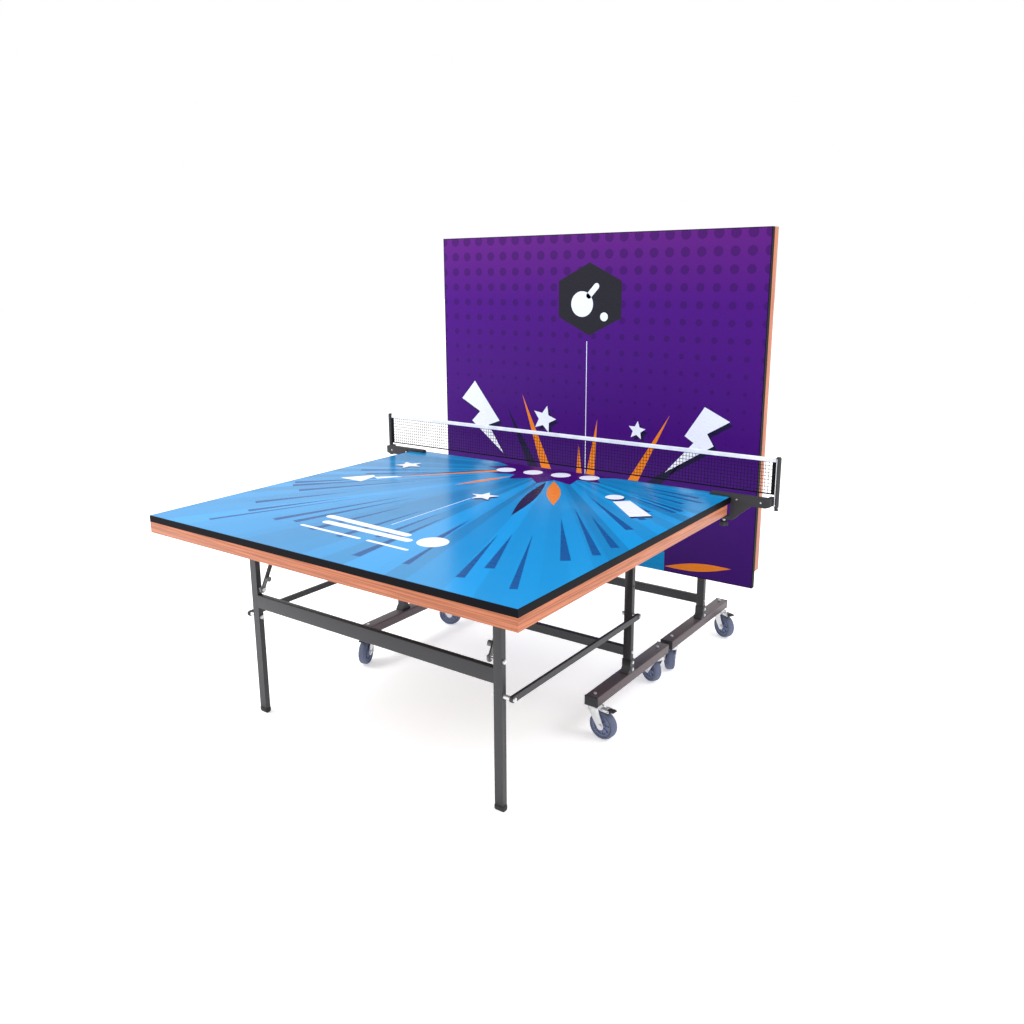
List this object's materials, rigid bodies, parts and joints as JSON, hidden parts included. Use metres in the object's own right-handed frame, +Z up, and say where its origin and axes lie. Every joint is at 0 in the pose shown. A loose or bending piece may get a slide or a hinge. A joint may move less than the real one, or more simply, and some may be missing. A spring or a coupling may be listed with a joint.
{
  "type": "ping pong table",
  "caption": "Folding ping pong table on swivel casters, one half level for play with a net, the other half upright as a rebound wall.",
  "frame": {"origin": "on the floor, under the centre of the whole set's bounding box", "axes": "+X along the net to the right, +Y from the near half's baseline to the upright far half, +Z up"},
  "size_m": [1.848, 1.886, 1.702],
  "materials": {
    "blue_top": "satin playing-surface paint",
    "violet_top": "satin playing-surface paint",
    "black_band": "satin",
    "wood": "varnished plywood",
    "black_steel": "powder coat",
    "beam_steel": "powder coat",
    "zinc": "zinc plated",
    "stay_steel": "powder coat",
    "black_plastic": "moulded",
    "foot_rubber": "matt",
    "wheel_rubber": "matt grey",
    "net_mesh": "knotted cord",
    "net_white": "woven tape"
  },
  "bodies": {
    "near_trolley": {"near_foot_beams": "beam_steel", "near_beam_caps": "black_plastic", "near_uprights": "black_steel", "near_crossbar": "black_steel", "near_trolley_bolts": "zinc"},
    "near_top": {"near_board": "blue_top", "near_edge_band": "black_band", "near_aprons": "wood", "near_top_frame": "black_steel", "near_top_bolts": "zinc", "net_posts": "black_plastic", "net_clamps": "black_plastic", "net": "net_mesh", "net_tape": "net_white", "tension_cord": "net_white", "tension_cord_tail": "net_white"},
    "near_leg_frame": {"near_legs": "black_steel", "near_leg_crossbar": "black_steel", "near_leg_feet": "foot_rubber", "near_leg_bolts": "zinc"},
    "near_link_bars": {"near_links": "black_steel"},
    "near_stay_bars": {"near_stays": "stay_steel"},
    "far_trolley": {"far_foot_beams": "beam_steel", "far_beam_caps": "black_plastic", "far_uprights": "black_steel", "far_crossbar": "black_steel", "far_trolley_bolts": "zinc"},
    "far_top": {"far_board": "violet_top", "far_edge_band": "black_band", "far_aprons": "wood", "far_top_frame": "black_steel", "far_top_bolts": "zinc"},
    "far_leg_frame": {"far_legs": "black_steel", "far_leg_crossbar": "black_steel", "far_leg_feet": "foot_rubber", "far_leg_bolts": "zinc"},
    "far_link_bars": {"far_links": "black_steel"},
    "far_stay_bars": {"far_stays": "stay_steel"},
    "left_screw": {"left_clamp_screw": "black_plastic"},
    "right_screw": {"right_clamp_screw": "black_plastic"},
    "near_right_outer_fork": {"near_right_outer_caster_fork": "zinc"},
    "near_right_outer_wheel": {"near_right_outer_caster_wheel": "wheel_rubber"},
    "near_right_outer_pedal": {"near_right_outer_brake_pedal": "black_plastic"},
    "near_right_inner_fork": {"near_right_inner_caster_fork": "zinc"},
    "near_right_inner_wheel": {"near_right_inner_caster_wheel": "wheel_rubber"},
    "near_left_outer_fork": {"near_left_outer_caster_fork": "zinc"},
    "near_left_outer_wheel": {"near_left_outer_caster_wheel": "wheel_rubber"},
    "near_left_outer_pedal": {"near_left_outer_brake_pedal": "black_plastic"},
    "near_left_inner_fork": {"near_left_inner_caster_fork": "zinc"},
    "near_left_inner_wheel": {"near_left_inner_caster_wheel": "wheel_rubber"},
    "far_right_outer_fork": {"far_right_outer_caster_fork": "zinc"},
    "far_right_outer_wheel": {"far_right_outer_caster_wheel": "wheel_rubber"},
    "far_right_outer_pedal": {"far_right_outer_brake_pedal": "black_plastic"},
    "far_right_inner_fork": {"far_right_inner_caster_fork": "zinc"},
    "far_right_inner_wheel": {"far_right_inner_caster_wheel": "wheel_rubber"},
    "far_left_outer_fork": {"far_left_outer_caster_fork": "zinc"},
    "far_left_outer_wheel": {"far_left_outer_caster_wheel": "wheel_rubber"},
    "far_left_outer_pedal": {"far_left_outer_brake_pedal": "black_plastic"},
    "far_left_inner_fork": {"far_left_inner_caster_fork": "zinc"},
    "far_left_inner_wheel": {"far_left_inner_caster_wheel": "wheel_rubber"}
  },
  "joints": [
    {"name": "far_roll", "type": "slide", "parent": "near_trolley", "child": "far_trolley", "axis": [0, 1, 0], "range_m": [0, 0.1051]},
    {"name": "near_tilt", "type": "hinge", "parent": "near_trolley", "child": "near_top", "pos_m": [0, 0.048, 0.711], "axis": [-1, 0, 0], "range_deg": [0, 90]},
    {"name": "near_leg_fold", "type": "hinge", "parent": "near_top", "child": "near_leg_frame", "pos_m": [0, -0.718, 0.711], "axis": [1, 0, 0], "range_deg": [0, 90]},
    {"name": "near_link_turn", "type": "hinge", "parent": "near_trolley", "child": "near_link_bars", "pos_m": [0, 0.063, 0.37], "axis": [-1, 0, 0], "range_deg": [0, 90]},
    {"name": "near_stay_swing", "type": "hinge", "parent": "near_top", "child": "near_stay_bars", "pos_m": [0, -0.588, 0.701], "axis": [-1, 0, 0], "range_deg": [0, 62.87]},
    {"name": "far_unfold", "type": "hinge", "parent": "far_trolley", "child": "far_top", "pos_m": [0, 0.709, 0.711], "axis": [-1, 0, 0], "range_deg": [0, 90]},
    {"name": "far_leg_fold", "type": "hinge", "parent": "far_top", "child": "far_leg_frame", "pos_m": [0, 0.709, 1.477], "axis": [1, 0, 0], "range_deg": [0, 90]},
    {"name": "far_link_turn", "type": "hinge", "parent": "far_trolley", "child": "far_link_bars", "pos_m": [0, 0.694, 0.37], "axis": [-1, 0, 0], "range_deg": [0, 90]},
    {"name": "far_stay_swing", "type": "hinge", "parent": "far_top", "child": "far_stay_bars", "pos_m": [0, 0.719, 1.347], "axis": [-1, 0, 0], "range_deg": [0, 62.87]},
    {"name": "near_right_outer_swivel", "type": "hinge", "parent": "near_trolley", "child": "near_right_outer_fork", "pos_m": [0.533, -0.158, 0.117], "axis": [0, 0, 1], "continuous": true},
    {"name": "near_right_outer_roll", "type": "hinge", "parent": "near_right_outer_fork", "child": "near_right_outer_wheel", "pos_m": [0.56886, -0.16114, 0.05], "axis": [0.0872, 0.9962, 0], "continuous": true},
    {"name": "near_right_outer_brake", "type": "hinge", "parent": "near_right_outer_fork", "child": "near_right_outer_pedal", "pos_m": [0.59277, -0.16323, 0.1085], "axis": [0.0872, 0.9962, 0], "range_deg": [0, 14]},
    {"name": "near_right_inner_swivel", "type": "hinge", "parent": "near_trolley", "child": "near_right_inner_fork", "pos_m": [0.533, 0.316, 0.117], "axis": [0, 0, 1], "continuous": true},
    {"name": "near_right_inner_roll", "type": "hinge", "parent": "near_right_inner_fork", "child": "near_right_inner_wheel", "pos_m": [0.50064, 0.33178, 0.05], "axis": [-0.4384, -0.8988, 0], "continuous": true},
    {"name": "near_left_outer_swivel", "type": "hinge", "parent": "near_trolley", "child": "near_left_outer_fork", "pos_m": [-0.533, -0.158, 0.117], "axis": [0, 0, 1], "continuous": true},
    {"name": "near_left_outer_roll", "type": "hinge", "parent": "near_left_outer_fork", "child": "near_left_outer_wheel", "pos_m": [-0.51951, -0.19138, 0.05], "axis": [0.9272, 0.3746, 0], "continuous": true},
    {"name": "near_left_outer_brake", "type": "hinge", "parent": "near_left_outer_fork", "child": "near_left_outer_pedal", "pos_m": [-0.51052, -0.21363, 0.1085], "axis": [0.9272, 0.3746, 0], "range_deg": [0, 14]},
    {"name": "near_left_inner_swivel", "type": "hinge", "parent": "near_trolley", "child": "near_left_inner_fork", "pos_m": [-0.533, 0.316, 0.117], "axis": [0, 0, 1], "continuous": true},
    {"name": "near_left_inner_roll", "type": "hinge", "parent": "near_left_inner_fork", "child": "near_left_inner_wheel", "pos_m": [-0.50092, 0.33234, 0.05], "axis": [-0.454, 0.891, 0], "continuous": true},
    {"name": "far_right_outer_swivel", "type": "hinge", "parent": "far_trolley", "child": "far_right_outer_fork", "pos_m": [0.533, 0.915, 0.117], "axis": [0, 0, 1], "continuous": true},
    {"name": "far_right_outer_roll", "type": "hinge", "parent": "far_right_outer_fork", "child": "far_right_outer_wheel", "pos_m": [0.56563, 0.89979, 0.05], "axis": [0.4226, 0.9063, 0], "continuous": true},
    {"name": "far_right_outer_brake", "type": "hinge", "parent": "far_right_outer_fork", "child": "far_right_outer_pedal", "pos_m": [0.58738, 0.88964, 0.1085], "axis": [0.4226, 0.9063, 0], "range_deg": [0, 14]},
    {"name": "far_right_inner_swivel", "type": "hinge", "parent": "far_trolley", "child": "far_right_inner_fork", "pos_m": [0.533, 0.441, 0.117], "axis": [0, 0, 1], "continuous": true},
    {"name": "far_right_inner_roll", "type": "hinge", "parent": "far_right_inner_fork", "child": "far_right_inner_wheel", "pos_m": [0.51235, 0.47049, 0.05], "axis": [-0.8192, -0.5736, 0], "continuous": true},
    {"name": "far_left_outer_swivel", "type": "hinge", "parent": "far_trolley", "child": "far_left_outer_fork", "pos_m": [-0.533, 0.915, 0.117], "axis": [0, 0, 1], "continuous": true},
    {"name": "far_left_outer_roll", "type": "hinge", "parent": "far_left_outer_fork", "child": "far_left_outer_wheel", "pos_m": [-0.50182, 0.897, 0.05], "axis": [0.5, 0.866, 0], "continuous": true},
    {"name": "far_left_outer_brake", "type": "hinge", "parent": "far_left_outer_fork", "child": "far_left_outer_pedal", "pos_m": [-0.48104, 0.885, 0.1085], "axis": [0.5, 0.866, 0], "range_deg": [0, 14]},
    {"name": "far_left_inner_swivel", "type": "hinge", "parent": "far_trolley", "child": "far_left_inner_fork", "pos_m": [-0.533, 0.441, 0.117], "axis": [0, 0, 1], "continuous": true},
    {"name": "far_left_inner_roll", "type": "hinge", "parent": "far_left_inner_fork", "child": "far_left_inner_wheel", "pos_m": [-0.515, 0.47218, 0.05], "axis": [-0.866, 0.5, 0], "continuous": true},
    {"name": "left_clamp_screw_travel", "type": "slide", "parent": "near_top", "child": "left_screw", "axis": [0, 0, -1], "range_m": [0, 0.03]},
    {"name": "right_clamp_screw_travel", "type": "slide", "parent": "near_top", "child": "right_screw", "axis": [0, 0, -1], "range_m": [0, 0.03]}
  ],
  "couplings": [
    {"joint": "near_leg_fold", "follows": "near_tilt", "ratio": 1},
    {"joint": "near_link_turn", "follows": "near_tilt", "ratio": 1},
    {"joint": "near_stay_swing", "follows": "near_tilt", "ratio": 0.69805},
    {"joint": "far_leg_fold", "follows": "far_unfold", "ratio": 1},
    {"joint": "far_link_turn", "follows": "far_unfold", "ratio": 1},
    {"joint": "far_stay_swing", "follows": "far_unfold", "ratio": 0.69805},
    {"joint": "far_roll", "follows": "far_unfold", "m_per_rad": 0.066845}
  ]
}
